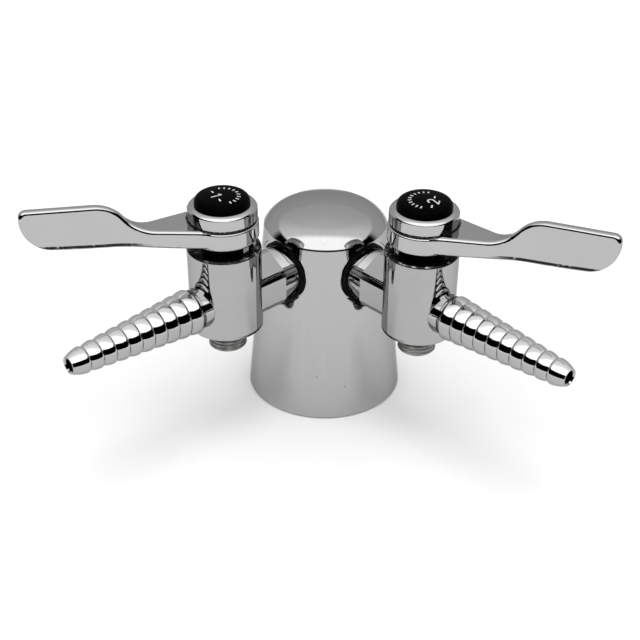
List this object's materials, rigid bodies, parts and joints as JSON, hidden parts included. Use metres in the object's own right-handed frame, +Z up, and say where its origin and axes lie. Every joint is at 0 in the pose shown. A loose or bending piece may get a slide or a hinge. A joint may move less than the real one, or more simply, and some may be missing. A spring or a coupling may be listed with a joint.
{
  "type": "laboratory turret tap",
  "caption": "Deck turret with a domed top that carries quarter-turn lever valves, each with a serrated hose nozzle, for laboratory gas or water.",
  "frame": {"origin": "centre of the inlet's mouth in the foot's face, on the turret's axis", "axes": "+Z up along the turret's axis; the valves and nozzles stand at the front, left and right of -Y"},
  "size_m": [0.1926, 0.1128, 0.1002],
  "materials": {
    "chrome": "polished plating on brass",
    "rubber": "matte black rubber",
    "ptfe": "white seat plastic",
    "steel": "plain stainless steel",
    "plug": "dull unplated thread",
    "nut": "blackened nut, oiled",
    "ball": "hard chrome on brass",
    "brass": "turned brass",
    "button": "black moulded button"
  },
  "bodies": {
    "turret": {"turret_body": "chrome", "base_gasket": "rubber", "left_port_washer": "rubber", "left_inlet_nipple": "chrome", "left_valve_body": "chrome", "left_inlet_seat": "ptfe", "left_outlet_seat": "ptfe", "left_stem_nut": "nut", "left_stop_pin": "steel", "left_bottom_plug": "plug", "left_hose_nozzle": "chrome", "right_port_washer": "rubber", "right_inlet_nipple": "chrome", "right_valve_body": "chrome", "right_inlet_seat": "ptfe", "right_outlet_seat": "ptfe", "right_stem_nut": "nut", "right_stop_pin": "steel", "right_bottom_plug": "plug", "right_hose_nozzle": "chrome"},
    "left_lever": {"left_ball": "ball", "left_stem": "brass", "left_stem_rings": "rubber", "left_thrust_washer": "ptfe", "left_handle": "chrome", "left_handle_screw": "steel", "left_index_button": "button"},
    "right_lever": {"right_ball": "ball", "right_stem": "brass", "right_stem_rings": "rubber", "right_thrust_washer": "ptfe", "right_handle": "chrome", "right_handle_screw": "steel", "right_index_button": "button"}
  },
  "joints": [
    {"name": "left_valve_turn", "type": "hinge", "parent": "turret", "child": "left_lever", "pos_m": [-0.03429, -0.03429, 0.0805], "axis": [0, 0, 1], "range_deg": [-65, 25]},
    {"name": "right_valve_turn", "type": "hinge", "parent": "turret", "child": "right_lever", "pos_m": [0.03429, -0.03429, 0.0805], "axis": [0, 0, 1], "range_deg": [-18, 72]}
  ]
}
